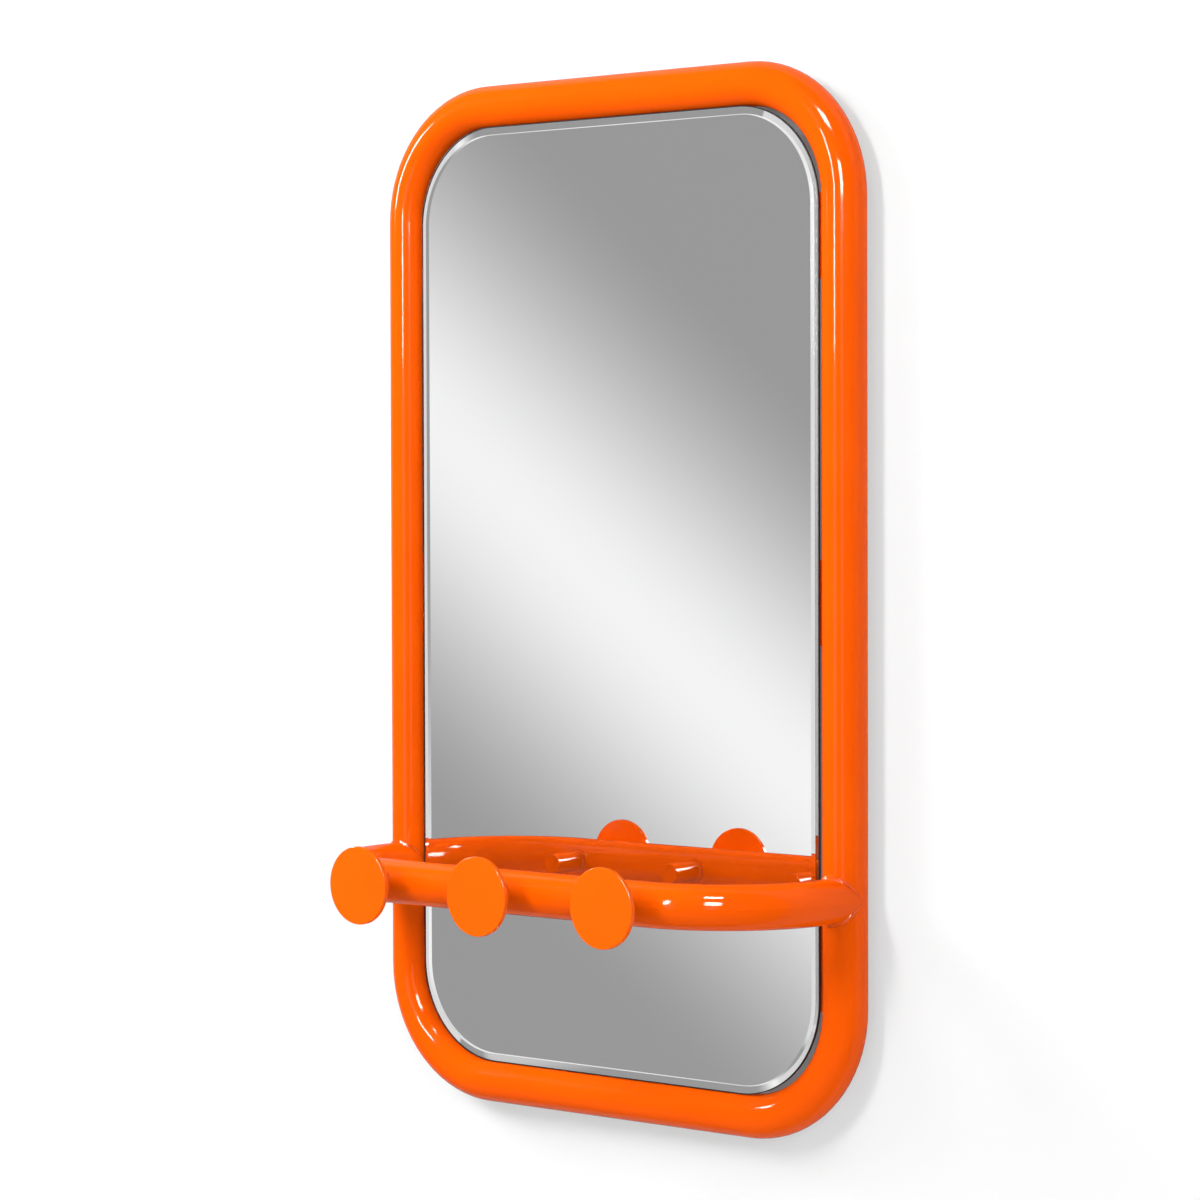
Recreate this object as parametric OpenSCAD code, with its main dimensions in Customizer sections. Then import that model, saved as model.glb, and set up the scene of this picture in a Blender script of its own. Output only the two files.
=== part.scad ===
// Wall mirror in a bent round-tube frame, with a tube rail across the front
// that carries three coat pegs.
//
// Axes: +X to the right, +Z up, +Y into the wall, so the mirror looks along -Y.
// Origin: midway between the two keyhole entries, on the wall side of the
// hanger plates. All lengths are in millimetres.

/* [Frame] */
// Outside width of the tube frame
frame_w = 600; // [520:1:720]
// Outside height of the tube frame
frame_h = 1015; // [930:1:1150]
// Outside diameter of the frame tube and of the rail tube
tube_od = 42.4; // [38:0.1:46]
// Wall thickness of both tubes
tube_wall = 2; // [1.5:0.1:3]
// Bend radius of the tube, measured to its centre line
bend_r = 110; // [95:1:125]

/* [Rail] */
// Height of the rail's centre line above the frame's lowest point
rail_rise = 233.5; // [215:0.5:260]
// Distance from the frame's centre plane forward to the rail's centre line
rail_reach = 150; // [135:1:170]

/* [Pegs] */
// Number of pegs along the rail
peg_count = 3; // [3:1:3]
// Distance from the start of the rail's bend inwards to the nearest peg
peg_inset = 12.8; // [12:0.1:30]
// Diameter of the round bar that each peg is cut from
peg_d = 20; // [14:0.5:22]
// Length of a peg in front of the rail, up to the face of its disc
peg_front = 32; // [28:0.5:45]
// Length of the plain stub behind the rail
peg_back = 38; // [20:0.5:55]
// Diameter of the disc on the front of a peg
disc_d = 75; // [60:1:85]
// Thickness of the disc
disc_t = 5; // [4:0.5:8]
// Rounding of the disc's two rims
disc_round = 1; // [0.5:0.1:1.5]
// Chamfer on the sawn end of the stub
stub_chamfer = 0.8; // [0.4:0.1:1.5]

/* [Mirror] */
// Thickness of the glass
glass_t = 4; // [3:0.5:6]
// Distance of the glass's front face forward of the frame's centre plane
glass_lead = 10.5; // [8:0.5:12]
// Gap between the side edges of the glass and the tube, at the glass's back
glass_side_gap = 3.4; // [2:0.1:5]
// Gap between its top and bottom edges and the tube, at the glass's back
glass_end_gap = 0.3; // [0.2:0.1:3]
// Corner radius of the glass, over that of the frame's inner side
corner_ease = 7.2; // [0:0.1:15]
// Width of the polished bevel
bevel_w = 8; // [5:0.5:12]
// Depth of the bevel at the edge of the glass
bevel_depth = 1.2; // [0.8:0.1:1.8]
// Thickness of the silvering with its protective paint
silver_t = 0.3; // [0.2:0.1:0.5]
// Clear margin from the glass's edge to the silvering
silver_inset = 0.3; // [0.2:0.1:2]

/* [Mirror lugs] */
// Length of a lug along the side tube
lug_l = 80; // [60:1:90]
// Reach of a lug inwards from the tube's inner side
lug_reach = 26; // [20:1:40]
// Thickness of the lug plate
lug_t = 3; // [2:0.5:4]
// Rounding of the lug's inner corners
lug_corner_r = 6; // [3:0.5:10]
// Gap between the bead under the rail and the top of the lower lugs
lug_gap = 2; // [1:0.5:8]
// Thickness of the adhesive pad between lug and mirror
pad_t = 1; // [0.6:0.1:2]
// Margin between the edge of a lug and its adhesive pad
pad_margin = 4; // [2:0.5:6]

/* [Hangers] */
// Width of a hanger plate
hanger_w = 44; // [36:1:60]
// Height of a hanger plate, up to the point where the tube cuts it off
hanger_h = 52; // [44:1:64]
// Thickness of a hanger plate
hanger_t = 3; // [2.5:0.5:4]
// Rounding of a hanger plate's lower corners
hanger_corner_r = 5; // [3:0.5:10]
// Distance from the start of the frame's bend inwards to a hanger plate
hanger_inset = 6.8; // [2:0.1:40]
// Diameter of the keyhole's entry, for the screw's head
key_entry_d = 10; // [9:0.5:12]
// Width of the keyhole's slot, for the screw's shank
key_slot_w = 5; // [4:0.5:6]
// Rise of the slot above the centre of the entry
key_rise = 11; // [9:0.5:14]
// Distance from the hanger plate's wall side to the wall
hanger_setback = 8; // [6:0.5:10]

/* [Wall pads] */
// Least thickness of a wall pad, between the tube and the wall
wall_pad_t = 2; // [1.5:0.5:4]
// Width of a wall pad
wall_pad_w = 14; // [10:1:20]
// Length of a wall pad along the tube
wall_pad_l = 40; // [25:1:60]
// Distance from the start of the frame's bend down to a wall pad
wall_pad_inset = 56; // [10:1:90]

/* [Welds] */
// Radius of the bead that joins the rail to the frame
rail_bead_r = 3.2; // [2.5:0.1:4]
// Height at which that bead stands out where the two tubes run side by side
rail_bead_fade = 0.4; // [0.1:0.1:0.8]
// Radius of the bead round a peg
peg_bead_r = 2.6; // [2:0.1:3.5]
// Radius of the plain beads on the lugs and the hanger plates
plate_bead_r = 2; // [1.5:0.1:2.5]
// Height of the ripples along the round beads
ripple = 0.3; // [0:0.05:0.5]
// Play between a peg and its hole in the rail, all round
peg_play = 0.1; // [0.05:0.05:0.3]

/* [Hidden] */

// Colours as the photograph shows them
orange = [0.96, 0.36, 0.04];
bead_orange = [0.90, 0.31, 0.04];
glass_tint = [0.80, 0.88, 0.86, 0.5];
silver = [0.62, 0.63, 0.64];
foam_grey = [0.30, 0.31, 0.32];
rubber_clear = [0.75, 0.76, 0.76];

tube_r = tube_od / 2;
bore_r = tube_r - tube_wall;
// Half sizes of the frame's centre line
half_w = frame_w / 2 - tube_r;
half_h = frame_h / 2 - tube_r;
// Half lengths of its straight runs, and the rail's height
straight_w = half_w - bend_r;
straight_h = half_h - bend_r;
rail_z = rail_rise - frame_h / 2;

// Depths, measured from the frame's centre plane; the wall lies at wall_y
wall_y = tube_r + wall_pad_t;
hanger_back_y = wall_y - hanger_setback;
hanger_front_y = hanger_back_y - hanger_t;
glass_front_y = -glass_lead;
glass_back_y = glass_front_y + glass_t;
silver_back_y = glass_back_y + silver_t;
lug_front_y = silver_back_y + pad_t;
lug_back_y = lug_front_y + lug_t;

// The keyhole entry hangs below the top tube far enough for its slot
tube_cut_z = half_h - sqrt(tube_r * tube_r - hanger_back_y * hanger_back_y);
key_z = tube_cut_z - hanger_h / 2;

// Peg depths
peg_r = peg_d / 2;
rail_front_y = -rail_reach - tube_r;
rail_back_y = -rail_reach + tube_r;
disc_front_y = rail_front_y - peg_front;
disc_back_y = disc_front_y + disc_t;
stub_end_y = rail_back_y + peg_back;

peg_pitch = 2 * (straight_w - peg_inset) / (peg_count - 1);

// Outline of the glass; at its back's depth the tube is glass_tube_r half wide
glass_tube_r = sqrt(tube_r * tube_r - glass_back_y * glass_back_y);
glass_half_w = half_w - glass_tube_r - glass_side_gap;
glass_half_h = half_h - glass_tube_r - glass_end_gap;
glass_corner_r = bend_r - tube_r + corner_ease;

// Centres of the end lugs, the hanger plates and the wall pads
lug_z = tube_r + rail_bead_r + lug_gap + lug_l / 2 - rail_z;
hanger_x = straight_w - hanger_inset - hanger_w / 2;
wall_pad_z = straight_h - wall_pad_inset - wall_pad_l / 2;

// Segments of a large and of a small circle
fine = 96;
fine_small = 48;
// How far a cut runs past the face that it opens
over = 1;
bead_sides = 8;
rail_bead_steps = 56;
peg_bead_steps = 28;
// Rounds off the corner where the two halves of a rail bead meet
saddle_round = 3;
// Share of its radius that a rail bead keeps where the tubes run side by side
side_share = 0.6;

function peg_x(i) = (i - (peg_count - 1) / 2) * peg_pitch;

// Moves the frame's centre from the origin to its place below the hangers
module at_frame() {
    translate([0, -hanger_back_y, -key_z]) children();
}

// ---------------------------------------------------------------- tubes

// A round bar along X, centred on the origin
module bar_x(r, length) {
    rotate([0, 90, 0]) cylinder(r = r, h = length, center = true, $fn = fine);
}

// A round bar along Y, from y0 to y1
module bar_y(r, y0, y1) {
    translate([0, y1, 0]) rotate([90, 0, 0]) cylinder(r = r, h = y1 - y0, $fn = fine);
}

// A quarter bend in the XY plane, from +X round to +Y
module quarter_bend(r) {
    rotate_extrude(angle = 90, $fn = fine) translate([bend_r, 0]) circle(r = r);
}

// The closed frame loop as a bar of radius r, in the XZ plane
module frame_loop(r) {
    for (side = [-1, 1]) {
        translate([side * half_w, 0, 0])
            cylinder(r = r, h = 2 * straight_h, center = true, $fn = fine);
        translate([0, 0, side * half_h]) bar_x(r, 2 * straight_w);
    }
    for (turn = [0, 1, 2, 3]) {
        sx = (turn == 0 || turn == 3) ? 1 : -1;
        sz = (turn < 2) ? 1 : -1;
        translate([sx * straight_w, 0, sz * straight_h])
            rotate([90, 0, 0]) rotate([0, 0, 90 * turn]) quarter_bend(r);
    }
}

// The rail's path as a bar of radius r: two legs, two bends and the straight
module rail_path(r) {
    leg = rail_reach - bend_r;
    translate([0, 0, rail_z]) {
        translate([0, -rail_reach, 0]) bar_x(r, 2 * straight_w);
        for (side = [-1, 1]) {
            translate([side * half_w, 0, 0]) bar_y(r, -leg, 0);
            translate([side * straight_w, -leg, 0])
                rotate([0, 0, side > 0 ? -90 : 180]) quarter_bend(r);
        }
    }
}

module frame_tube() {
    color(orange) at_frame() difference() {
        frame_loop(tube_r);
        frame_loop(bore_r);
    }
}

// Both ends are coped to sit on the side tubes, and each peg has a hole
// through both walls
module rail_tube() {
    color(orange) at_frame() difference() {
        rail_path(tube_r);
        rail_path(bore_r);
        for (side = [-1, 1]) translate([side * half_w, 0, rail_z])
            cylinder(r = tube_r, h = 4 * tube_r, center = true, $fn = fine);
        for (i = [0 : peg_count - 1]) translate([peg_x(i), 0, rail_z])
            bar_y(peg_r + peg_play, rail_front_y - over, rail_back_y + over);
    }
}

// ---------------------------------------------------------------- welds

function unit(v) = v / norm(v);

// A closed bead of rippled section along a loop of points, each with its radius
module bead_loop(points, radii) {
    n = len(points);
    rings = [for (i = [0 : n - 1])
        let (
            along = unit(points[(i + 1) % n] - points[(i + n - 1) % n]),
            out = unit(cross(along, [0, 1, 0])),
            up = cross(out, along),
            r = radii[i] + ripple * (i % 2 == 0 ? 0.5 : -0.5)
        )
        for (k = [0 : bead_sides - 1])
            let (a = 360 * k / bead_sides)
            points[i] + r * (cos(a) * out + sin(a) * up)];
    faces = [for (i = [0 : n - 1], k = [0 : bead_sides - 1])
        let (
            j = (i + 1) % n,
            m = (k + 1) % bead_sides,
            p = i * bead_sides + k,
            q = j * bead_sides + k,
            s = j * bead_sides + m,
            t = i * bead_sides + m
        )
        each [[p, s, q], [p, t, s]]];
    polyhedron(points = rings, faces = faces);
}

// Angle of one point of the rail bead, and the bead's radius there: full above
// and below the rail, where the tubes meet square, and thin at their sides
function saddle_angle(i) = 360 * (i + 0.5) / rail_bead_steps;
function saddle_r(a) = rail_bead_r * (side_share + (1 - side_share) * abs(sin(a)));

// The same point, on the line where the rail's leg meets the side tube; at the
// sides it is drawn in until only the fade's height stands out
function saddle_point(a) =
    let (
        sink = (rail_bead_r * side_share + ripple / 2 - rail_bead_fade) * pow(cos(a), 2),
        z = tube_r * sin(a)
    )
    [(tube_r - sink) * cos(a), -sqrt(z * z + saddle_round * saddle_round), z];

// A point of the line where a peg enters the rail, in front (-1) or behind (1)
function peg_ring_point(a, facing) =
    let (z = peg_r * sin(a))
    [peg_r * cos(a), -rail_reach + facing * sqrt(tube_r * tube_r - z * z), z];

module rail_weld(side) {
    angles = [for (i = [0 : rail_bead_steps - 1]) saddle_angle(i)];
    color(bead_orange) at_frame() difference() {
        translate([side * half_w, 0, rail_z])
            bead_loop([for (a = angles) saddle_point(a)], [for (a = angles) saddle_r(a)]);
        translate([side * half_w, 0, rail_z])
            cylinder(r = tube_r, h = 4 * tube_r, center = true, $fn = fine);
        rail_path(tube_r);
    }
}

module peg_weld(i) {
    angles = [for (k = [0 : peg_bead_steps - 1]) 360 * k / peg_bead_steps];
    color(bead_orange) at_frame() {
        for (facing = [-1, 1]) difference() {
            translate([peg_x(i), 0, rail_z])
                bead_loop([for (a = angles) peg_ring_point(a, facing)],
                    [for (a = angles) peg_bead_r]);
            rail_path(tube_r);
            translate([peg_x(i), 0, rail_z]) bar_y(peg_r, disc_back_y, stub_end_y);
        }
        // Plain fillet between the peg and the back of its disc
        translate([peg_x(i), disc_back_y, rail_z]) rotate([-90, 0, 0]) rotate_extrude($fn = fine)
            polygon([[peg_r, 0], [peg_r + peg_bead_r, 0], [peg_r, peg_bead_r]]);
    }
}

// ---------------------------------------------------------------- pegs

module peg_rod(i) {
    color(orange) at_frame() translate([peg_x(i), disc_back_y, rail_z]) rotate([-90, 0, 0])
        rotate_extrude($fn = fine) polygon([
            [0, 0],
            [peg_r, 0],
            [peg_r, stub_end_y - disc_back_y - stub_chamfer],
            [peg_r - stub_chamfer, stub_end_y - disc_back_y],
            [0, stub_end_y - disc_back_y]
        ]);
}

module peg_disc(i) {
    rim_r = disc_d / 2 - disc_round;
    color(orange) at_frame() translate([peg_x(i), disc_front_y, rail_z]) rotate([-90, 0, 0])
        rotate_extrude($fn = fine) {
            square([rim_r, disc_t]);
            translate([0, disc_round]) square([disc_d / 2, disc_t - 2 * disc_round]);
            for (t = [disc_round, disc_t - disc_round]) translate([rim_r, t])
                circle(r = disc_round, $fn = fine_small);
        }
}

// ---------------------------------------------------------------- mirror

// A rounded rectangle in the XZ plane, from y0 towards +Y by depth
module plate(w2, h2, r, y0, depth) {
    translate([0, y0 + depth, 0]) rotate([90, 0, 0]) linear_extrude(depth) {
        square([2 * w2, 2 * (h2 - r)], center = true);
        square([2 * (w2 - r), 2 * h2], center = true);
        for (sx = [-1, 1], sz = [-1, 1]) translate([sx * (w2 - r), sz * (h2 - r)])
            circle(r = r, $fn = fine);
    }
}

// The bevelled front of the glass: sloping prisms on the four sides and a
// cone at each corner, all on the same slope
module bevelled_front() {
    slope_x = [
        [-glass_half_w, bevel_depth], [-glass_half_w + bevel_w, 0],
        [glass_half_w - bevel_w, 0], [glass_half_w, bevel_depth]
    ];
    slope_z = [
        [-glass_half_h, bevel_depth], [-glass_half_h + bevel_w, 0],
        [glass_half_h - bevel_w, 0], [glass_half_h, bevel_depth]
    ];
    r = glass_corner_r;
    translate([0, glass_front_y, 0]) {
        linear_extrude(2 * (glass_half_h - r), center = true) polygon(slope_x);
        rotate([0, 90, 0]) linear_extrude(2 * (glass_half_w - r), center = true)
            polygon([for (p = slope_z) [-p[0], p[1]]]);
        for (sx = [-1, 1], sz = [-1, 1])
            translate([sx * (glass_half_w - r), 0, sz * (glass_half_h - r)])
                rotate([-90, 0, 0])
                    cylinder(r1 = r - bevel_w, r2 = r, h = bevel_depth, $fn = fine);
    }
}

module mirror_glass() {
    color(glass_tint) at_frame() {
        bevelled_front();
        plate(glass_half_w, glass_half_h, glass_corner_r,
            glass_front_y + bevel_depth, glass_t - bevel_depth);
    }
}

module mirror_silvering() {
    color(silver) at_frame()
        plate(glass_half_w - silver_inset, glass_half_h - silver_inset,
            glass_corner_r - silver_inset, glass_back_y, silver_t);
}

// ---------------------------------------------------------------- lugs

// Tongue that stands in from the side tube, trimmed to the tube's round
module lug(side, level) {
    tip_x = half_w - tube_r - lug_reach;
    color(orange) at_frame() difference() {
        translate([0, lug_back_y, level * lug_z]) rotate([90, 0, 0]) linear_extrude(lug_t) {
            for (z = [-1, 1])
                translate([side * (tip_x + lug_corner_r), z * (lug_l / 2 - lug_corner_r)])
                    circle(r = lug_corner_r, $fn = fine_small);
            translate([side * (tip_x + half_w) / 2, 0])
                square([half_w - tip_x, lug_l - 2 * lug_corner_r], center = true);
            translate([side * (tip_x + lug_corner_r + half_w) / 2, 0])
                square([half_w - tip_x - lug_corner_r, lug_l], center = true);
        }
        frame_loop(tube_r);
    }
}

// One pad of double-sided foam tape between each lug and the mirror
module adhesive_pads() {
    pad_w = lug_reach - 2 * pad_margin;
    mid_x = half_w - tube_r - lug_reach / 2;
    color(foam_grey) at_frame()
        for (side = [-1, 1], level = [-1, 0, 1])
            translate([side * mid_x, silver_back_y + pad_t / 2, level * lug_z])
                cube([pad_w, pad_t, lug_l - 2 * pad_margin], center = true);
}

// A plain bead along the back of each lug, in the corner with the tube
module lug_welds() {
    bead_x = half_w - sqrt(tube_r * tube_r - lug_back_y * lug_back_y);
    color(bead_orange) at_frame() difference() {
        for (side = [-1, 1], level = [-1, 0, 1])
            translate([side * bead_x, lug_back_y, level * lug_z]) difference() {
                cylinder(r = plate_bead_r, h = lug_l, center = true, $fn = fine_small);
                translate([0, -lug_t, 0])
                    cube([4 * plate_bead_r, 2 * lug_t, lug_l + 2 * over], center = true);
            }
        frame_loop(tube_r);
    }
}

// ---------------------------------------------------------------- hangers

// Plate hanging from the top tube, trimmed to its round, with a keyhole
module hanger_plate(side) {
    bottom_z = tube_cut_z - hanger_h;
    color(orange) at_frame() translate([side * hanger_x, 0, 0]) difference() {
        translate([0, hanger_back_y, 0]) rotate([90, 0, 0]) linear_extrude(hanger_t) {
            for (x = [-1, 1])
                translate([x * (hanger_w / 2 - hanger_corner_r), bottom_z + hanger_corner_r])
                    circle(r = hanger_corner_r, $fn = fine_small);
            translate([0, (bottom_z + half_h) / 2])
                square([hanger_w - 2 * hanger_corner_r, half_h - bottom_z], center = true);
            translate([0, (bottom_z + hanger_corner_r + half_h) / 2])
                square([hanger_w, half_h - bottom_z - hanger_corner_r], center = true);
        }
        translate([0, 0, half_h]) bar_x(tube_r, hanger_w + 2 * over);
        translate([0, 0, key_z]) {
            bar_y(key_entry_d / 2, hanger_front_y - over, hanger_back_y + over);
            translate([0, 0, key_rise])
                bar_y(key_slot_w / 2, hanger_front_y - over, hanger_back_y + over);
            translate([0, hanger_back_y - hanger_t / 2, key_rise / 2])
                cube([key_slot_w, hanger_t + 2 * over, key_rise], center = true);
        }
    }
}

// A plain bead along the front of each plate's top edge
module hanger_welds() {
    bead_z = half_h - sqrt(tube_r * tube_r - hanger_front_y * hanger_front_y);
    color(bead_orange) at_frame() for (side = [-1, 1])
        translate([side * hanger_x, 0, 0]) difference() {
            translate([0, hanger_front_y, bead_z]) bar_x(plate_bead_r, hanger_w);
            translate([0, 0, half_h]) bar_x(tube_r, hanger_w + 2 * over);
            translate([0, hanger_front_y + hanger_t, bead_z])
                cube([hanger_w + 2 * over, 2 * hanger_t, 4 * plate_bead_r], center = true);
        }
}

// ---------------------------------------------------------------- wall pads

// Pads that hug the back of the side tubes and keep the paint off the wall
module wall_pads() {
    color(rubber_clear) at_frame() for (side = [-1, 1], level = [-1, 1])
        translate([side * half_w, 0, level * wall_pad_z]) difference() {
            translate([0, wall_y / 2, 0])
                cube([wall_pad_w, wall_y, wall_pad_l], center = true);
            cylinder(r = tube_r, h = wall_pad_l + 2 * over, center = true, $fn = fine);
        }
}

// ---------------------------------------------------------------- nodes

frame_tube();
rail_tube();
rail_weld(-1);  // rail_weld_left
rail_weld(1);  // rail_weld_right
peg_rod(0);  // peg_rod_left
peg_rod(1);  // peg_rod_middle
peg_rod(2);  // peg_rod_right
peg_disc(0);  // peg_disc_left
peg_disc(1);  // peg_disc_middle
peg_disc(2);  // peg_disc_right
peg_weld(0);  // peg_weld_left
peg_weld(1);  // peg_weld_middle
peg_weld(2);  // peg_weld_right
mirror_glass();
mirror_silvering();
adhesive_pads();
lug(-1, 1);  // lug_upper_left
lug(1, 1);  // lug_upper_right
lug(-1, 0);  // lug_middle_left
lug(1, 0);  // lug_middle_right
lug(-1, -1);  // lug_lower_left
lug(1, -1);  // lug_lower_right
lug_welds();
hanger_plate(-1);  // hanger_plate_left
hanger_plate(1);  // hanger_plate_right
hanger_welds();
wall_pads();
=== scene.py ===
# %% [markdown]
# # A wall mirror in a bent tube frame, with a peg rail
#
# The real object is one closed ring of round steel tube with a gloss orange powder coat, a
# bevelled mirror held inside it on six welded lugs, and a bowed rail of the same tube that
# carries three pegs with flat round heads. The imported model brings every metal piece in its
# true place, so this lesson is about three things: finishes that look like coated steel and
# polished glass, a pane that deserves a smoother mesh than a solid model gives, and a plain
# studio in which a mirror has something to show.

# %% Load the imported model
import bpy
import bmesh
import math
from mathutils import Matrix, Vector


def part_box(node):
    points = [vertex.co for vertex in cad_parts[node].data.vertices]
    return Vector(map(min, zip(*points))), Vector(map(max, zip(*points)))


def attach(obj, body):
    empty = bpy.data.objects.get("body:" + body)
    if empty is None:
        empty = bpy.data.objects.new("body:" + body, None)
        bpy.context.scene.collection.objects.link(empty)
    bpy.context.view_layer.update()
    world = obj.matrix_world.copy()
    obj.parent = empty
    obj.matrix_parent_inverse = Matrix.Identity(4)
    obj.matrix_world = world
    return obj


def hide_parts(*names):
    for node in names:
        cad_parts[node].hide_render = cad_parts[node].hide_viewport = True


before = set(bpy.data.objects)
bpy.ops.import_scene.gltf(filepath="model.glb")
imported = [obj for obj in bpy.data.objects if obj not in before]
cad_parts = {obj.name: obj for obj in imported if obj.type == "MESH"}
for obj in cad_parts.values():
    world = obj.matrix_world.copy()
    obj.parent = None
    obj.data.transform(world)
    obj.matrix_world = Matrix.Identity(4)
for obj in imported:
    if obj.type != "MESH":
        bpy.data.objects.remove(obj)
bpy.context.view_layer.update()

# %% [markdown]
# ## Sizes that the pieces share
#
# Lengths are written once, in millimetres, as a drawing has them, and a helper turns them
# into metres. The drawing is laid out from the centre of the ring, so one offset moves a
# point from there into the model's own frame, whose origin lies at the wall hangers. The
# offset isn't typed in: the ring's own box gives it.

# %% Shared sizes
MM = 0.001
ring_low, ring_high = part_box("frame_tube")
RING = (ring_low + ring_high) / 2
TUBE_R = 21.2 * MM
BEND_R = 110 * MM
HALF_W = (ring_high.x - ring_low.x) / 2 - TUBE_R
HALF_H = (ring_high.z - ring_low.z) / 2 - TUBE_R


def at_ring(x, y, z):
    """A point given in millimetres from the ring's centre, in the model's frame."""
    return RING + Vector((x, y, z)) * MM


print("ring centre:", tuple(round(c, 4) for c in RING))

# %% [markdown]
# ## Helpers for shader nodes
#
# A finish is a handful of nodes that are made, set and joined in the same few ways. Short
# helpers keep each material as readable as a recipe. The first one sets a socket: it takes
# a number, a colour or another node's socket, so every other helper does too.

# %% Helpers: sockets, sums and mixes


def put(tree, socket, value):
    """Give a socket its value: a number, a colour (three numbers), or a link from another."""
    if isinstance(value, bpy.types.NodeSocket):
        tree.links.new(value, socket)
    elif isinstance(value, tuple):
        socket.default_value = (*value, 1)
    else:
        socket.default_value = value


def math_node(tree, operation, first, second=None, clamp=False):
    """A Math node; first and second are sockets or plain numbers."""
    node = tree.nodes.new("ShaderNodeMath")
    node.operation = operation
    node.use_clamp = clamp
    put(tree, node.inputs[0], first)
    if second is not None:
        put(tree, node.inputs[1], second)
    return node.outputs[0]


def map_range(tree, value, low, high, to_low=0.0, to_high=1.0, smooth=False):
    """A clamped Map Range node."""
    node = tree.nodes.new("ShaderNodeMapRange")
    node.interpolation_type = "SMOOTHSTEP" if smooth else "LINEAR"
    node.inputs["From Min"].default_value = low
    node.inputs["From Max"].default_value = high
    node.inputs["To Min"].default_value = to_low
    node.inputs["To Max"].default_value = to_high
    put(tree, node.inputs["Value"], value)
    return node.outputs["Result"]


def mix(tree, kind, factor, first, second):
    """A Mix node of kind RGBA or FLOAT: first where factor is 0, second where it is 1."""
    node = tree.nodes.new("ShaderNodeMix")
    node.data_type = kind
    put(tree, node.inputs["Factor"], factor)
    put(tree, node.inputs["A"], first)
    put(tree, node.inputs["B"], second)
    return node.outputs["Result"]


print("helpers ready: put, math_node, map_range, mix")

# %% [markdown]
# The second set is about surfaces. Patterns are laid on Object coordinates, which stay on
# the piece wherever it goes. A surface can also be told which way it faces, by its own
# normal, and that is how one material can have a front and a back.

# %% Helpers: materials and their patterns


def new_material(name):
    """A node material, with its node tree and its Principled shader."""
    material = bpy.data.materials.new(name)
    material.use_nodes = True
    return material, material.node_tree, material.node_tree.nodes["Principled BSDF"]


def noise(tree, scale, detail=2.0, roughness=0.5):
    """Noise on the piece's own Object coordinates, as a value from 0 to 1."""
    place = tree.nodes.new("ShaderNodeTexCoord")
    node = tree.nodes.new("ShaderNodeTexNoise")
    tree.links.new(place.outputs["Object"], node.inputs["Vector"])
    put(tree, node.inputs["Scale"], scale)
    put(tree, node.inputs["Detail"], detail)
    put(tree, node.inputs["Roughness"], roughness)
    return node.outputs["Fac"]


def facing_wall(tree, low, high):
    """From 0 to 1 as the normal's share along +Y, into the wall, rises from low to high."""
    facing = tree.nodes.new("ShaderNodeNewGeometry")
    split = tree.nodes.new("ShaderNodeSeparateXYZ")
    tree.links.new(facing.outputs["Normal"], split.inputs["Vector"])
    return map_range(tree, split.outputs["Y"], low, high)


def relief(tree, shader, height, depth):
    """Fine relief: height from 0 to 1 stands for depth metres of bump."""
    bump = tree.nodes.new("ShaderNodeBump")
    bump.inputs["Distance"].default_value = depth
    tree.links.new(height, bump.inputs["Height"])
    tree.links.new(bump.outputs["Normal"], shader.inputs["Normal"])


def dress(node, material):
    """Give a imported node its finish."""
    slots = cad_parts[node].data.materials
    slots.clear()
    slots.append(material)


print("helpers ready: new_material, noise, facing_wall, relief, dress")

# %% [markdown]
# ## Shader groups
#
# An effect that several finishes share is built once, as a node group with named sockets,
# and each material places the group with its own values. Two helpers do this: one starts a
# group, and the other places it.

# %% Helpers: groups


def new_group(name, inputs, outputs):
    """A shader group of number sockets, with its input node and its output node."""
    group = bpy.data.node_groups.new(name, "ShaderNodeTree")
    for label, value in inputs:
        socket = group.interface.new_socket(label, in_out="INPUT", socket_type="NodeSocketFloat")
        socket.default_value = value
    for label in outputs:
        group.interface.new_socket(label, in_out="OUTPUT", socket_type="NodeSocketFloat")
    return group, group.nodes.new("NodeGroupInput"), group.nodes.new("NodeGroupOutput")


def use_group(tree, group, values):
    """Place a group in a material with its own values; gives its outputs."""
    node = tree.nodes.new("ShaderNodeGroup")
    node.node_tree = group
    for label, value in values.items():
        node.inputs[label].default_value = value
    return node.outputs


print("helpers ready: new_group, use_group")

# %% [markdown]
# ## The coat's skin
#
# Powder coat is paint that was sprayed as dust and baked. It flows into a glossy skin that
# is never quite flat: under a lamp it shows a fine orange-peel ripple, and here and there a
# speck of dust under the skin.
#
# The ripple is plain noise with hardly any fine detail, since paint flows out smooth. The
# clouding is the same noise at the size of a hand. A speck is the middle of a Voronoi
# cell, and a second noise lets only a few of the cells have one.

# %% The coat's skin
coat_skin, skin_in, skin_out = new_group(
    "coat_skin",
    (("Peel Size", 420.0), ("Cloud Size", 14.0), ("Speck Size", 240.0), ("Speck Amount", 0.5)),
    ("Height", "Cloud", "Speck"),
)
peel = noise(coat_skin, skin_in.outputs["Peel Size"], detail=1.0, roughness=0.4)
cloud = noise(coat_skin, skin_in.outputs["Cloud Size"], detail=3.0)
place = coat_skin.nodes.new("ShaderNodeTexCoord")
cells = coat_skin.nodes.new("ShaderNodeTexVoronoi")
coat_skin.links.new(place.outputs["Object"], cells.inputs["Vector"])
coat_skin.links.new(skin_in.outputs["Speck Size"], cells.inputs["Scale"])
SPECK_EDGE, SPECK_TOP = 0.10, 0.02
FEW_SIZE, FEW_FROM, FEW_TO = 37.0, 0.70, 0.74
CLOUD_FROM, CLOUD_TO = 0.35, 0.65
dot = map_range(coat_skin, cells.outputs["Distance"], SPECK_EDGE, SPECK_TOP)
few = map_range(coat_skin, noise(coat_skin, FEW_SIZE), FEW_FROM, FEW_TO)
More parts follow.
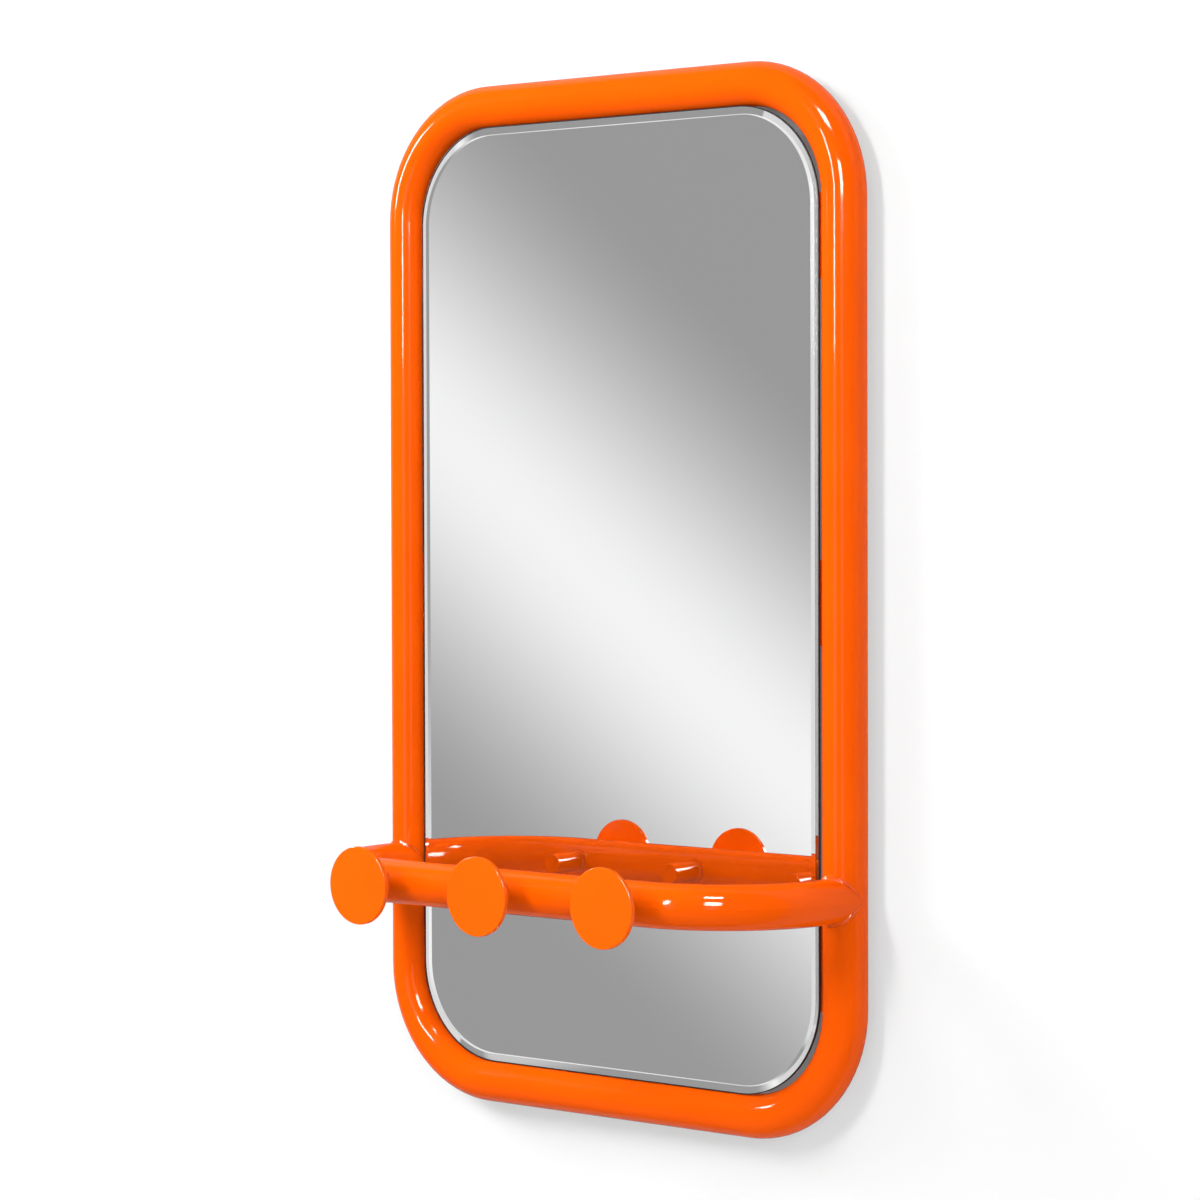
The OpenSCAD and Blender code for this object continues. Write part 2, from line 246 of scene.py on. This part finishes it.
speck = math_node(coat_skin, "MULTIPLY", dot, few)
speck = math_node(coat_skin, "MULTIPLY", speck, skin_in.outputs["Speck Amount"], clamp=True)
coat_skin.links.new(math_node(coat_skin, "ADD", peel, speck), skin_out.inputs["Height"])
coat_skin.links.new(map_range(coat_skin, cloud, CLOUD_FROM, CLOUD_TO), skin_out.inputs["Cloud"])
coat_skin.links.new(speck, skin_out.inputs["Speck"])
print("coat_skin nodes:", len(coat_skin.nodes))

# %% [markdown]
# ## Fine grain
#
# Foam, rubber and ground glass look quite unlike each other, yet up close each is a fine
# mottled grain. One small group serves all three, and only the grain's size changes.

# %% Fine grain
fine_grain, grain_in, grain_out = new_group("fine_grain", (("Grain Size", 900.0),), ("Grain",))
grain = noise(fine_grain, grain_in.outputs["Grain Size"], detail=3.0)
fine_grain.links.new(grain, grain_out.inputs["Grain"])
print("fine_grain nodes:", len(fine_grain.nodes))

# %% [markdown]
# ## The orange coat
#
# The coat is one layer of pigmented plastic, so it is one Principled shader without a clear
# coat over it. Its colour is a very pure orange with almost no blue, and it clouds by only
# a percent or two. Reflections are weak but sharp: a low specular level and a low
# roughness. The ripple enters as bump of a hundredth of a millimetre.
#
# One thing is done for the eye alone. Light that comes off the coat towards the wall would
# stain the wall pink, and in the photograph the wall beside the frame stays grey. So the
# faces that look at the wall throw a dull grey light (THROWN) on matt surfaces, while the
# front throws its true orange, which is what makes the creases glow red.

# %% A recipe for coated steel
PEEL_SIZE = 300
CLOUDY_GLOSS = 0.15
THROWN = (0.16, 0.10, 0.09)
THROWN_FROM, THROWN_TO = -0.35, -0.05


def coated_steel(name, peel_depth, roughness, shine, bright, shaded, speck_amount):
    """Gloss orange powder coat; bright and shaded are the ends of its clouding, shine its gloss."""
    material, tree, shader = new_material(name)
    shader.inputs["Specular IOR Level"].default_value = shine
    skin = use_group(tree, coat_skin, {"Peel Size": PEEL_SIZE, "Speck Amount": speck_amount})
    path = tree.nodes.new("ShaderNodeLightPath")
    colour = mix(tree, "RGBA", skin["Cloud"], shaded, bright)
    to_wall = facing_wall(tree, THROWN_FROM, THROWN_TO)
    to_wall = math_node(tree, "MULTIPLY", to_wall, path.outputs["Is Diffuse Ray"])
    put(tree, shader.inputs["Base Color"], mix(tree, "RGBA", to_wall, colour, THROWN))
    smoother, rougher = roughness * (1 - CLOUDY_GLOSS), roughness * (1 + CLOUDY_GLOSS)
    put(tree, shader.inputs["Roughness"], map_range(tree, skin["Cloud"], 0, 1, smoother, rougher))
    relief(tree, shader, skin["Height"], peel_depth)
    return material


print("peel size:", PEEL_SIZE, "thrown light:", THROWN)

# %% [markdown]
# Three values of the recipe serve the whole object. The discs lie flat in the oven, so
# their coat flows out smoother and shines more. On the weld beads the coat is thick and
# lies over the metal's own ripples, which catch the lamps as small glints.

# %% Coat every metal piece
frame_coat = coated_steel(
    "orange_coat", peel_depth=0.010 * MM, roughness=0.07, shine=0.30,
    bright=(1.0, 0.110, 0.0006), shaded=(0.98, 0.104, 0.0005), speck_amount=0.6,
)
disc_coat = coated_steel(
    "orange_coat_on_disc", peel_depth=0.006 * MM, roughness=0.06, shine=0.8,
    bright=(1.0, 0.132, 0.0006), shaded=(0.99, 0.126, 0.0005), speck_amount=0.3,
)
weld_coat = coated_steel(
    "orange_coat_on_weld", peel_depth=0.45 * MM, roughness=0.08, shine=1.0,
    bright=(1.0, 0.110, 0.0006), shaded=(0.90, 0.085, 0.0005), speck_amount=1.0,
)
metal = [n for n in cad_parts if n.startswith(("frame_", "rail_", "peg_", "lug_", "hanger_"))]
for node in metal:
    dress(node, weld_coat if "weld" in node else disc_coat if "disc" in node else frame_coat)
print("coated:", len(metal))

# %% [markdown]
# ## The silvering
#
# The silvering is a mirror on its glass side and grey protective paint on its wall side.
# One material can be both, because the direction that the surface faces tells the two
# apart: metallic and perfectly smooth in front, painted and half matt behind. The paint is
# rolled on, so it is a little blotchy.

# %% Silvering
SILVER = (0.975, 0.975, 0.975)
PAINT_DARK, PAINT_LIGHT = (0.165, 0.175, 0.18), (0.215, 0.225, 0.23)
PAINT_ROUGHNESS = 0.55
BLOTCH_SIZE = 60.0
silvered, tree, shader = new_material("silver_and_paint")
back_side = facing_wall(tree, -0.6, -0.4)
paint = mix(tree, "RGBA", noise(tree, BLOTCH_SIZE, detail=4.0), PAINT_DARK, PAINT_LIGHT)
put(tree, shader.inputs["Base Color"], mix(tree, "RGBA", back_side, SILVER, paint))
put(tree, shader.inputs["Metallic"], map_range(tree, back_side, 0, 1, 1, 0))
put(tree, shader.inputs["Roughness"], map_range(tree, back_side, 0, 1, 0, PAINT_ROUGHNESS))
dress("mirror_silvering", silvered)
print("silvering nodes:", len(tree.nodes))

# %% [markdown]
# ## Tape and pads
#
# The foam tape and the wall pads are plain rubbery stuff with a fine grain, dark for the
# tape and pale for the pads. The ground edge of the glass will use the same recipe.

# %% Tape and pads
GRAIN_DEPTH = 0.05 * MM


def grained_matt(name, dark, light, grain_size, roughness):
    """A dull material with fine mottled grain."""
    material, tree, shader = new_material(name)
    shader.inputs["Roughness"].default_value = roughness
    grain = use_group(tree, fine_grain, {"Grain Size": grain_size})["Grain"]
    put(tree, shader.inputs["Base Color"], mix(tree, "RGBA", grain, dark, light))
    relief(tree, shader, grain, GRAIN_DEPTH)
    return material


dress("adhesive_pads", grained_matt("foam_tape", (0.012, 0.012, 0.013), (0.03, 0.03, 0.032), 900, 0.9))
dress("wall_pads", grained_matt("soft_pad", (0.42, 0.43, 0.43), (0.52, 0.53, 0.53), 300, 0.4))
print("finishes:", [m.name for m in bpy.data.materials])

# %% [markdown]
# ## The glass
#
# The pane is 4 mm float glass with rounded corners and an 8 mm polished bevel all round.
# In the solid model its corners are flat facets, and on glass every facet would flash, so
# the pane is made again with bmesh. It starts as one flat face, whose four corners are
# rounded by a vertex bevel, and which is then extruded to the thickness that the bevel
# leaves at the edge.

# %% Cut the outline
glass_low, glass_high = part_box("mirror_glass")
GLASS_HALF_W = (glass_high.x - glass_low.x) / 2
GLASS_HALF_H = (glass_high.z - glass_low.z) / 2
GLASS_T = glass_high.y - glass_low.y
GLASS_CORNER = 96 * MM
CORNER_STEPS = 32
BEVEL_DEPTH = 1.7 * MM

pane = bmesh.new()
upright = Matrix.Rotation(math.radians(90), 4, "X")
bmesh.ops.create_grid(pane, x_segments=1, y_segments=1, size=1.0, matrix=upright)
bmesh.ops.scale(pane, vec=(GLASS_HALF_W, 1, GLASS_HALF_H), verts=pane.verts)
bmesh.ops.bevel(
    pane, geom=pane.verts[:], offset=GLASS_CORNER, offset_type="OFFSET", segments=CORNER_STEPS,
    profile=0.5, affect="VERTICES", material=-1,
)
grown = bmesh.ops.extrude_face_region(pane, geom=pane.faces[:])["geom"]
front_verts = [v for v in grown if isinstance(v, bmesh.types.BMVert)]
front = [f for f in grown if isinstance(f, bmesh.types.BMFace)]
bmesh.ops.translate(pane, vec=(0, -(GLASS_T - BEVEL_DEPTH), 0), verts=front_verts)
bmesh.ops.recalc_face_normals(pane, faces=pane.faces)
print("outline corners:", len(front_verts), "thickness:", round(GLASS_T / MM, 2), "mm")

# %% [markdown]
# A bevel is exactly what an inset that is raised makes. It is done here in two steps of one
# slope. The first, just under a millimetre wide, is the arris, the strip at the very edge
# that is left ground. The second is the polished bevel. The slope matters more than it
# seems: the pane bends the view by it, so it decides which part of the room each bevel
# shows. The faces of the arris and the rim take the second material slot.
#
# The pane stops a hair in front of the silvering, so that the two surfaces never share a
# plane.

# %% Grind the arris and the bevel
BEVEL_W = 8 * MM
ARRIS_W = 0.9 * MM
HAIR = 0.02 * MM
GROUND = 1
arris_share = ARRIS_W / BEVEL_W
arris = bmesh.ops.inset_region(
    pane, faces=front, thickness=ARRIS_W, depth=BEVEL_DEPTH * arris_share, use_even_offset=True,
)
bmesh.ops.inset_region(
    pane, faces=front, thickness=BEVEL_W - ARRIS_W, depth=BEVEL_DEPTH * (1 - arris_share),
    use_even_offset=True,
)
pane.normal_update()
rim = [f for f in pane.faces if abs(f.normal.y) < 0.5]
for face in arris["faces"] + rim:
    face.material_index = GROUND
bmesh.ops.translate(pane, vec=(RING.x, glass_high.y - HAIR, RING.z), verts=pane.verts)
print("pane faces:", len(pane.faces))

# %% [markdown]
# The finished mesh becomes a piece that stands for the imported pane. Shading is smooth round
# the corners and stays sharp along the bevel, which meets the face at about twelve degrees.

# %% Make it a piece
SHARP_ANGLE = 6
glass_mesh = bpy.data.meshes.new("mirror_pane")
pane.to_mesh(glass_mesh)
pane.free()
glass = bpy.data.objects.new("mirror_pane", glass_mesh)
bpy.context.scene.collection.objects.link(glass)
glass_mesh.shade_smooth()
glass_mesh.set_sharp_from_angle(angle=math.radians(SHARP_ANGLE))
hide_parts("mirror_glass")
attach(glass, "root")

# %% [markdown]
# ## The glass finish
#
# Glass is clear from the front and frosted along its ground rim and arris. The frosting stops the view
# into the pane, so it is a matt finish of its own. That finish is near black with a green tinge. It is
# partly the dark green that a glass edge shows and partly painted shade for the shadowed crevice, and
# it draws the thin dark line between the mirror and the tube. The clear part has only the faintest
# trace of wiping marks in its polish.
#
# A pane throws back a little light at its own face too, on top of what the silvering
# reflects. That faint second image would show each softbox as a white card, so the face's
# own reflection is turned off with a black specular tint, and the loss goes into the base
# colour instead.

# %% Glass finish
clear, tree, shader = new_material("clear_glass")
shader.inputs["Transmission Weight"].default_value = 1.0
shader.inputs["IOR"].default_value = 1.5
shader.inputs["Specular Tint"].default_value = (0, 0, 0, 1)
shader.inputs["Roughness"].default_value = 0.0
WIPING_SIZE = 9.0
tint = mix(tree, "RGBA", noise(tree, WIPING_SIZE), (0.940, 0.942, 0.942), (0.944, 0.943, 0.943))
put(tree, shader.inputs["Base Color"], tint)
# The ground rim and arris are near black: partly the glass edge's own dark green, partly painted shade
# for the crevice between the mirror and the tube.
ground_edge_painted_shade = grained_matt("ground_edge_painted_shade", (0.010, 0.013, 0.014), (0.030, 0.038, 0.042), 900, 0.3)
glass_mesh.materials.append(clear)
glass_mesh.materials.append(ground_edge_painted_shade)
print("ground faces:", sum(face.material_index == GROUND for face in glass_mesh.polygons))

# %% [markdown]
# ## The studio
#
# The mirror hangs on a plain white wall over a pale floor. How they look and how they light
# the object are set apart. For matt surfaces the wall is a pale grey. For the camera it is
# a darker paint plus an even lift, so that the open wall comes out white and the frame's
# shadow keeps its soft grey. In the coat's gloss it is dimmed, or every tube would get a
# milky edge.
#
# Little light gets behind the mirror, so hardly any lift is left there, and the wall there is painted
# darker: painted shade. The place is measured from the ring's straight sides: beyond their ends, the
# distance from the centre of the corner's bend makes the outline round.

# %% Where the wall lies open
BEHIND_SHARE = 0.16


def past(tree, value, length):
    """How far a value lies past plus or minus length, squared."""
    beyond = math_node(tree, "SUBTRACT", math_node(tree, "ABSOLUTE", value), length)
    beyond = math_node(tree, "MAXIMUM", beyond, 0.0)
    return math_node(tree, "MULTIPLY", beyond, beyond)


def in_the_open(tree):
    """1 on the open wall and BEHIND_SHARE behind the mirror, where the missing lift paints shade."""
    spot = tree.nodes.new("ShaderNodeTexCoord")
    split = tree.nodes.new("ShaderNodeSeparateXYZ")
    tree.links.new(spot.outputs["Object"], split.inputs["Vector"])
    across = past(tree, split.outputs["X"], HALF_W - BEND_R)
    tall = past(tree, math_node(tree, "SUBTRACT", split.outputs["Z"], RING.z), HALF_H - BEND_R)
    from_bend = math_node(tree, "SQRT", math_node(tree, "ADD", across, tall))
    return map_range(tree, from_bend, BEND_R - 20 * MM, BEND_R - 10 * MM, BEHIND_SHARE, 1.0)


print("lift left behind the mirror:", BEHIND_SHARE)

# %% [markdown]
# The paint is a diffuse shader plus an emission, and Light Path tells each kind of ray what
# it meets. Seen from behind, both sheets let the view through, so that the back of the
# frame can be looked at.

# %% Paint for the wall and the floor


def stage_paint(name, colour, seen, lift, in_gloss):
    """Grey paint; seen and lift are what the camera meets, in_gloss the share in the gloss."""
    material, tree, shader = new_material(name)
    tree.nodes.clear()
    path = tree.nodes.new("ShaderNodeLightPath")
    camera_ray, glossy_ray = path.outputs["Is Camera Ray"], path.outputs["Is Glossy Ray"]
    below = math_node(tree, "MULTIPLY", camera_ray, colour - seen)
    dimmed = math_node(tree, "MULTIPLY", glossy_ray, colour * (1 - in_gloss))
    paint = tree.nodes.new("ShaderNodeBsdfDiffuse")
    tone = math_node(tree, "SUBTRACT", colour, math_node(tree, "ADD", below, dimmed))
    put(tree, paint.inputs["Color"], tone)
    lifted = math_node(tree, "MAXIMUM", camera_ray, math_node(tree, "MULTIPLY", glossy_ray, in_gloss))
    lifted = math_node(tree, "MAXIMUM", lifted, path.outputs["Is Transmission Ray"])
    # Behind the mirror most of the lift is taken away: painted shade.
    lifted = math_node(tree, "MULTIPLY", lifted, in_the_open(tree))
    glow = tree.nodes.new("ShaderNodeEmission")
    put(tree, glow.inputs["Color"], (1, 1, 1))
    put(tree, glow.inputs["Strength"], math_node(tree, "MULTIPLY", lifted, lift))
    both = tree.nodes.new("ShaderNodeAddShader")
    behind = tree.nodes.new("ShaderNodeNewGeometry")
    through = tree.nodes.new("ShaderNodeBsdfTransparent")
    choice = tree.nodes.new("ShaderNodeMixShader")
    out = tree.nodes.new("ShaderNodeOutputMaterial")
    put(tree, both.inputs[0], paint.outputs[0])
    put(tree, both.inputs[1], glow.outputs[0])
    put(tree, choice.inputs["Fac"], behind.outputs["Backfacing"])
    put(tree, choice.inputs[1], both.outputs[0])
    put(tree, choice.inputs[2], through.outputs[0])
    put(tree, out.inputs["Surface"], choice.outputs[0])
    return material


wall_paint = stage_paint("wall_paint", colour=0.70, seen=0.47, lift=0.43, in_gloss=0.26)
floor_paint = stage_paint("floor_paint", colour=0.30, seen=0.45, lift=0.3, in_gloss=0.12)
print("wall paint nodes:", len(wall_paint.node_tree.nodes))

# %% [markdown]
# Both sheets are single flat faces, and they aren't part of the object. They throw no shadow, so the
# lamp behind the wall still lights the frame's back.
# The wall lies a fifth of a millimetre behind the pads that touch it.

# %% Wall and floor
WALL_SIZE, FLOOR_SIZE = 6.0, 1.6
WALL_GAP = 0.2 * MM
FLOOR_Z = -1.75
wall_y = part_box("wall_pads")[1].y


def stage_sheet(name, size, matrix, material):
    """A flat stage sheet that reaches size metres each way from its middle."""
    sheet = bmesh.new()
    bmesh.ops.create_grid(sheet, x_segments=1, y_segments=1, size=size, matrix=matrix)
    mesh = bpy.data.meshes.new(name)
    sheet.to_mesh(mesh)
    sheet.free()
    mesh.materials.append(material)
    thing = bpy.data.objects.new(name, mesh)
    bpy.context.scene.collection.objects.link(thing)
    thing.visible_shadow = False


stage_sheet("wall", WALL_SIZE, Matrix.Translation((0, wall_y + WALL_GAP, 0)) @ upright, wall_paint)
stage_sheet("floor", FLOOR_SIZE, Matrix.Translation((0, wall_y - FLOOR_SIZE, FLOOR_Z)), floor_paint)
print("wall at y =", round(wall_y, 4))

# %% [markdown]
# ## What the mirror shows
#
# A mirror has no colour of its own, so its look is the room's. The room here is a plain
# mid grey with one broad slanting band of white, as a photographer's reflector card gives.
# It is written in the world's shader from the direction of the ray alone: azimuth and
# height above the horizon, added up, give slanting bands. Angles are in degrees.

# %% The slanting band
BAND_SLOPE = 0.961
BAND_AZIMUTH, BAND_HEIGHT = 41.36, 1.74
BAND_APART, BAND_FADE = 12.0, 6.0
ROOM_GREY = 0.628
world = bpy.data.worlds.new("room")
bpy.context.scene.world = world
world.use_nodes = True
room = world.node_tree
look = room.nodes.new("ShaderNodeTexCoord")
axes = room.nodes.new("ShaderNodeSeparateXYZ")
room.links.new(look.outputs["Generated"], axes.inputs["Vector"])
ahead = math_node(room, "MULTIPLY", axes.outputs["Y"], -1.0)
azimuth = math_node(room, "ARCTAN2", axes.outputs["X"], ahead)
height = math_node(room, "ARCSINE", axes.outputs["Z"])


def ramp(value, low, high, start, end):
    """A smooth change from start to end, between two angles in degrees."""
    return map_range(room, value, math.radians(low), math.radians(high), start, end, smooth=True)


slant = math_node(room, "ADD", math_node(room, "MULTIPLY", azimuth, BAND_SLOPE), height)
slant = math_node(room, "ADD", slant, math.radians(BAND_SLOPE * BAND_AZIMUTH + BAND_HEIGHT))
from_band = math_node(room, "PINGPONG", slant, math.radians(BAND_APART))
grey = ramp(from_band, 0.0, BAND_FADE, 1.0, ROOM_GREY)
print("band nodes:", len(room.nodes))

# %% [markdown]
# The flat glass shows the photograph's camera only a few degrees of the room. The bevels
# look past them: to the sides and above. There the room turns pale, which gives the bevels
# their light lines. Far round to the side it is plain grey again.
#
# The pattern so far is written in the tones that the picture shows. A power turns them into
# amounts of light, and a small gain makes up for what the silvering takes.

# %% Pale sides for the bevels
FLAT_AZIMUTH = 40.0
SIDE_FROM, SIDE_TO, SIDE_TONE = 4.7, 6.6, 0.9
FAR_FROM, FAR_TO = 32, 40
OVER_FROM, OVER_TO, OVER_TONE = 5.3, 6.5, 0.82
TONE_TO_LIGHT, GAIN = 2.24, 1.06
aside = math_node(room, "ABSOLUTE", math_node(room, "ADD", azimuth, math.radians(FLAT_AZIMUTH)))
pale, near = ramp(aside, SIDE_FROM, SIDE_TO, 0.0, SIDE_TONE), ramp(aside, FAR_FROM, FAR_TO, 1.0, 0.0)
grey = math_node(room, "MAXIMUM", grey, math_node(room, "MULTIPLY", pale, near))
grey = math_node(room, "MAXIMUM", grey, ramp(height, OVER_FROM, OVER_TO, 0.0, OVER_TONE))
card = math_node(room, "MULTIPLY", math_node(room, "POWER", grey, TONE_TO_LIGHT), GAIN)
print("room nodes:", len(room.nodes))

# %% [markdown]
# Each kind of ray meets its own room. The camera sees white. Matt surfaces get a weak even
# fill. The coat's gloss sees a dim room, so the lamps alone draw on it. The view into the
# mirror leaves it through the glass, as a transmission ray, and meets the pattern. Light
# that reaches matt surfaces by way of the mirror comes from above, and it lights the back
# of the rail.

# %% The room for each kind of ray
FILL = 0.26
ROOM_DIM = 0.05
MIRROR_FILL, FILL_BELOW = 6.0, 0.01
FILL_FROM, FILL_TO = -3, 12
path = room.nodes.new("ShaderNodeLightPath")
level = mix(room, "FLOAT", path.outputs["Is Camera Ray"], FILL, 1.0)
level = mix(room, "FLOAT", path.outputs["Is Glossy Ray"], level, ROOM_DIM)
off_gloss = math_node(room, "GREATER_THAN", path.outputs["Glossy Depth"], 1.5)
off_matt = math_node(room, "GREATER_THAN", path.outputs["Diffuse Depth"], 0.5)
from_above = ramp(height, FILL_FROM, FILL_TO, MIRROR_FILL * FILL_BELOW, MIRROR_FILL)
in_mirror = mix(room, "FLOAT", off_gloss, card, ROOM_DIM)
in_mirror = mix(room, "FLOAT", off_matt, in_mirror, from_above)
level = mix(room, "FLOAT", path.outputs["Is Transmission Ray"], level, in_mirror)
background = room.nodes["Background"]
background.inputs["Color"].default_value = (1, 1, 1, 1)
put(room, background.inputs["Strength"], level)
print("world nodes:", len(room.nodes))

# %% [markdown]
# ## Lamps
#
# Two kinds of softbox stand round the object. The first kind lights the paint. The two
# keys, left and nearly in front, stand high: they light the tops, and they draw the frame's
# shadow to the right and down. Weaker ones lift the right side, the undersides and the top,
# and one behind the wall lights the back for whoever looks there.
#
# The second kind only shows in the gloss. On a round glossy tube a tall lamp is a thin
# upright line, and where the line lies on the tube tells where the lamp stands. The four
# bright ones give the crisp lines and the streaks on the bends, and the two dim wide ones
# the soft glow that runs down both side tubes. No lamp is seen in the mirror itself.

# %% Softboxes: name, place in mm from the ring, width and height in m, power in W
PAINT_LAMPS = (
    ("key_left", (-2380, -1380, 1300), 1.2, 1.2, 80),
    ("key_front", (-420, -2650, 1450), 0.5, 1.2, 55),
    ("side_right", (2300, -1900, 500), 0.6, 0.9, 23),
    ("low_card", (500, -900, -1150), 1.2, 0.6, 3.0),
    ("top_light", (700, -1670, 2300), 1.2, 0.8, 12),
    ("back_panel", (0, 2500, 600), 1.0, 1.0, 60),
)
GLOSS_LAMPS = (
    ("shine_front", (-420, -2970, 870), 0.28, 1.1, 40),
    ("shine_right", (1560, -2560, 1010), 0.70, 0.85, 80),
    ("shine_top", (965, -1670, 2300), 0.65, 0.5, 60),
    ("shine_left", (-2500, -1630, 860), 0.30, 0.48, 20),
    ("glow_front", (-420, -2970, -115), 0.9, 0.85, 2.2),
    ("glow_right", (1500, -2600, 0), 0.5, 1.2, 2.0),
)


def softbox(name, place, width, height, power, in_gloss):
    """A rectangular lamp that faces the ring: it lights the paint, or else only shows in the gloss."""
    light = bpy.data.lights.new(name, "AREA")
    light.shape = "RECTANGLE"
    light.size = width
    light.size_y = height
    light.energy = power
    lamp = bpy.data.objects.new(name, light)
    lamp.location = at_ring(*place)
    lamp.rotation_euler = (RING - at_ring(*place)).to_track_quat("-Z", "Y").to_euler()
    lamp.visible_diffuse = not in_gloss
    lamp.visible_glossy = in_gloss
    lamp.visible_transmission = False
    bpy.context.scene.collection.objects.link(lamp)


for in_gloss, lamps in ((False, PAINT_LAMPS), (True, GLOSS_LAMPS)):
    for values in lamps:
        softbox(*values, in_gloss)

# %% [markdown]
# ## The camera
#
# The photograph is taken from the right of the mirror at about 41 degrees, a little above
# its middle, with a long lens. The lens and the place were solved from the outlines of the
# ring, the discs and the rail. The small shift frames the picture as the photograph does
# without tilting the uprights.

# %% The lens
PICTURE = 1200
SENSOR = 36
FOCAL_PIXELS = 3884.4
SHIFT_PIXELS = -22.3
lens_data = bpy.data.cameras.new("camera")
lens_data.sensor_width = SENSOR
lens_data.lens = FOCAL_PIXELS / PICTURE * SENSOR
lens_data.shift_y = SHIFT_PIXELS / PICTURE
lens_data.clip_start = 0.1
lens_data.clip_end = 50
print("lens:", round(lens_data.lens, 2), "mm")

# %% [markdown]
# The camera's three axes are worked out from its yaw, pitch and roll and set as the columns
# of its matrix. A camera looks along its own minus Z, so the third column points backwards.

# %% The camera's place
YAW, PITCH, ROLL = 0.725, -0.025, -0.003
CAMERA_AT = (2487.96, -2834.48, 114.30)
forward = Vector((-math.sin(YAW) * math.cos(PITCH), math.cos(YAW) * math.cos(PITCH), math.sin(PITCH)))
right = Vector((math.cos(YAW), math.sin(YAW), 0))
up = right.cross(forward)
turned_right = right * math.cos(ROLL) + up * math.sin(ROLL)
turned_up = -right * math.sin(ROLL) + up * math.cos(ROLL)
basis = Matrix((turned_right, turned_up, -forward)).transposed().to_4x4()
camera = bpy.data.objects.new("camera", lens_data)
camera.matrix_world = Matrix.Translation(at_ring(*CAMERA_AT)) @ basis
bpy.context.scene.collection.objects.link(camera)
bpy.context.scene.camera = camera
bpy.context.scene.view_settings.view_transform = "Standard"
print("camera at", tuple(round(c, 3) for c in camera.location))
